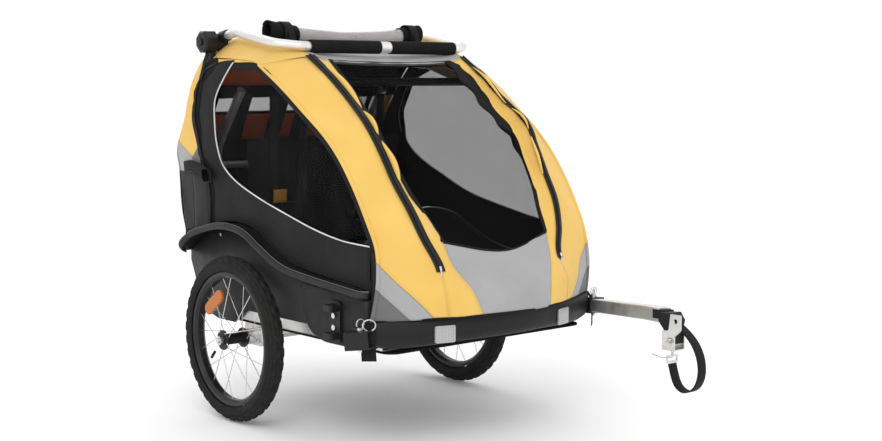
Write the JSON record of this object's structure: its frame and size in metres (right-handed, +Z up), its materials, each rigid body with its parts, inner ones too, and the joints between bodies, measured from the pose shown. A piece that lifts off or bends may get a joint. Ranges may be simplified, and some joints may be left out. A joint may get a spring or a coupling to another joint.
{
  "type": "child bicycle trailer",
  "caption": "Two-seat child bicycle trailer with a fabric cabin on a folding frame, spoked wheels, stowed push handlebar and a side tow arm with hitch.",
  "frame": {"origin": "on the ground under the middle of the footprint box, safety strap left out", "axes": "+Z up; +Y rearward, away from the towing bicycle; +X to the trailer's left, the side of the tow arm"},
  "size_m": [0.8, 1.3379, 0.9652],
  "materials": {
    "tyre_rubber": "matte moulded rubber",
    "rim_black": "satin black anodised",
    "moulded_black": "fine grained moulded nylon",
    "spoke_steel": "bright wire",
    "amber_reflector": "prismatic reflector",
    "axle_steel": "bright",
    "frame_aluminium": "satin anodised",
    "floor_cloth": "coated black cloth",
    "tub_plastic": "moulded black plastic with a slight sheen",
    "clear_reflector": "prismatic clear reflector",
    "bolt_steel": "zinc plated",
    "webbing": "woven nylon webbing",
    "cover_cloth": "coated polyester in warm yellow, light grey and black panels",
    "black_mesh": "fine insect mesh",
    "window_vinyl": "clear flexible vinyl",
    "seat_cloth": "padded black cloth",
    "rolled_vinyl": "clear flexible vinyl with black binding",
    "grip_foam": "closed-cell foam",
    "flex_rubber": "moulded elastomer",
    "hitch_steel": "zinc plated"
  },
  "bodies": {
    "chassis": {"side_rails": "frame_aluminium", "cross_tubes": "frame_aluminium", "axle_tube": "frame_aluminium", "axle_receivers": "frame_aluminium", "floor_panel": "floor_cloth", "side_fairing_left": "tub_plastic", "side_fairing_right": "tub_plastic", "front_bumper": "tub_plastic", "bumper_reflectors": "clear_reflector", "cargo_panel": "floor_cloth", "arm_receivers": "moulded_black", "receiver_bolts": "bolt_steel", "tow_sockets": "moulded_black", "strap_tabs": "webbing", "cage_brackets": "moulded_black", "rear_brackets": "moulded_black", "cabin_cover": "cover_cloth", "front_mesh": "black_mesh", "side_windows": "window_vinyl", "seat_base": "seat_cloth", "seat_back": "seat_cloth", "harness_straps": "webbing", "harness_buckles": "moulded_black", "tow_arm": "frame_aluminium", "flex_connector": "flex_rubber"},
    "roll_cage": {"roll_tubes": "frame_aluminium", "cage_cross_tubes": "frame_aluminium", "hub_housing_left": "moulded_black", "hub_housing_right": "moulded_black", "rain_cover_roll": "rolled_vinyl", "roll_bands": "webbing"},
    "rear_frame": {"rear_uprights": "frame_aluminium", "upright_cross_tube": "frame_aluminium"},
    "handlebar": {"handlebar_tube": "frame_aluminium", "handlebar_knuckles": "moulded_black", "foam_grips": "grip_foam", "grip_clamp": "axle_steel"},
    "hitch": {"hitch_bracket": "hitch_steel", "safety_strap": "webbing", "snap_hook": "axle_steel"},
    "hitch_pin": {"hitch_pin": "axle_steel"},
    "wire_clip": {"wire_clip": "axle_steel"},
    "hub_button_left": {"hub_button_left": "moulded_black"},
    "axle_left": {"quick_axle_left": "axle_steel"},
    "wheel_left": {"tyre_left": "tyre_rubber", "rim_left": "rim_black", "wheel_hub_left": "moulded_black", "spokes_left": "spoke_steel", "spoke_reflector_left": "amber_reflector"},
    "axle_button_left": {"axle_button_left": "moulded_black"},
    "socket_pin_left": {"socket_pin_left": "axle_steel"},
    "hub_button_right": {"hub_button_right": "moulded_black"},
    "axle_right": {"quick_axle_right": "axle_steel"},
    "wheel_right": {"tyre_right": "tyre_rubber", "rim_right": "rim_black", "wheel_hub_right": "moulded_black", "spokes_right": "spoke_steel", "spoke_reflector_right": "amber_reflector"},
    "axle_button_right": {"axle_button_right": "moulded_black"},
    "socket_pin_right": {"socket_pin_right": "axle_steel"}
  },
  "joints": [
    {"name": "cage_fold", "type": "hinge", "parent": "chassis", "child": "roll_cage", "pos_m": [0, -0.1473, 0.3], "axis": [-1, 0, 0], "range_deg": [0, 36], "deforming": ["cabin_cover", "front_mesh", "side_windows", "seat_back", "harness_straps", "harness_buckles"]},
    {"name": "rear_frame_fold", "type": "hinge", "parent": "chassis", "child": "rear_frame", "pos_m": [0, 0.5627, 0.36], "axis": [1, 0, 0], "range_deg": [0, 79.2]},
    {"name": "handlebar_swing", "type": "hinge", "parent": "roll_cage", "child": "handlebar", "pos_m": [0, 0.4627, 0.909], "axis": [-1, 0, 0], "range_deg": [0, 150]},
    {"name": "hub_button_left_press", "type": "slide", "parent": "roll_cage", "child": "hub_button_left", "axis": [-1, 0, 0], "range_m": [0, 0.004], "stiffness_N_per_m": 900},
    {"name": "axle_left_slide", "type": "slide", "parent": "chassis", "child": "axle_left", "axis": [1, 0, 0], "range_m": [0, 0.06]},
    {"name": "wheel_left_spin", "type": "hinge", "parent": "axle_left", "child": "wheel_left", "pos_m": [0.355, 0.3327, 0.2], "axis": [1, 0, 0], "continuous": true},
    {"name": "axle_button_left_press", "type": "slide", "parent": "axle_left", "child": "axle_button_left", "axis": [-1, 0, 0], "range_m": [0, 0.003], "stiffness_N_per_m": 900},
    {"name": "socket_pin_left_pull", "type": "slide", "parent": "chassis", "child": "socket_pin_left", "axis": [0, 0, 1], "range_m": [0, 0.045]},
    {"name": "hub_button_right_press", "type": "slide", "parent": "roll_cage", "child": "hub_button_right", "axis": [1, 0, 0], "range_m": [0, 0.004], "stiffness_N_per_m": 900},
    {"name": "axle_right_slide", "type": "slide", "parent": "chassis", "child": "axle_right", "axis": [-1, 0, 0], "range_m": [0, 0.06]},
    {"name": "wheel_right_spin", "type": "hinge", "parent": "axle_right", "child": "wheel_right", "pos_m": [-0.355, 0.3327, 0.2], "axis": [1, 0, 0], "continuous": true},
    {"name": "axle_button_right_press", "type": "slide", "parent": "axle_right", "child": "axle_button_right", "axis": [1, 0, 0], "range_m": [0, 0.003], "stiffness_N_per_m": 900},
    {"name": "socket_pin_right_pull", "type": "slide", "parent": "chassis", "child": "socket_pin_right", "axis": [0, 0, 1], "range_m": [0, 0.045]},
    {"name": "hitch_flex", "type": "hinge", "parent": "chassis", "child": "hitch", "pos_m": [0.141, -0.5903, 0.29], "axis": [0, 0, 1], "range_deg": [-30, 30], "stiffness_Nm_per_rad": 12, "deforming": ["flex_connector"]},
    {"name": "hitch_pin_pull", "type": "slide", "parent": "hitch", "child": "hitch_pin", "axis": [-1, 0, 0], "range_m": [0, 0.045]},
    {"name": "wire_clip_swing", "type": "hinge", "parent": "hitch_pin", "child": "wire_clip", "pos_m": [0.11, -0.6123, 0.27], "axis": [1, 0, 0], "range_deg": [-80, 0]}
  ],
  "couplings": [
    {"joint": "rear_frame_fold", "follows": "cage_fold", "ratio": 2.2}
  ]
}
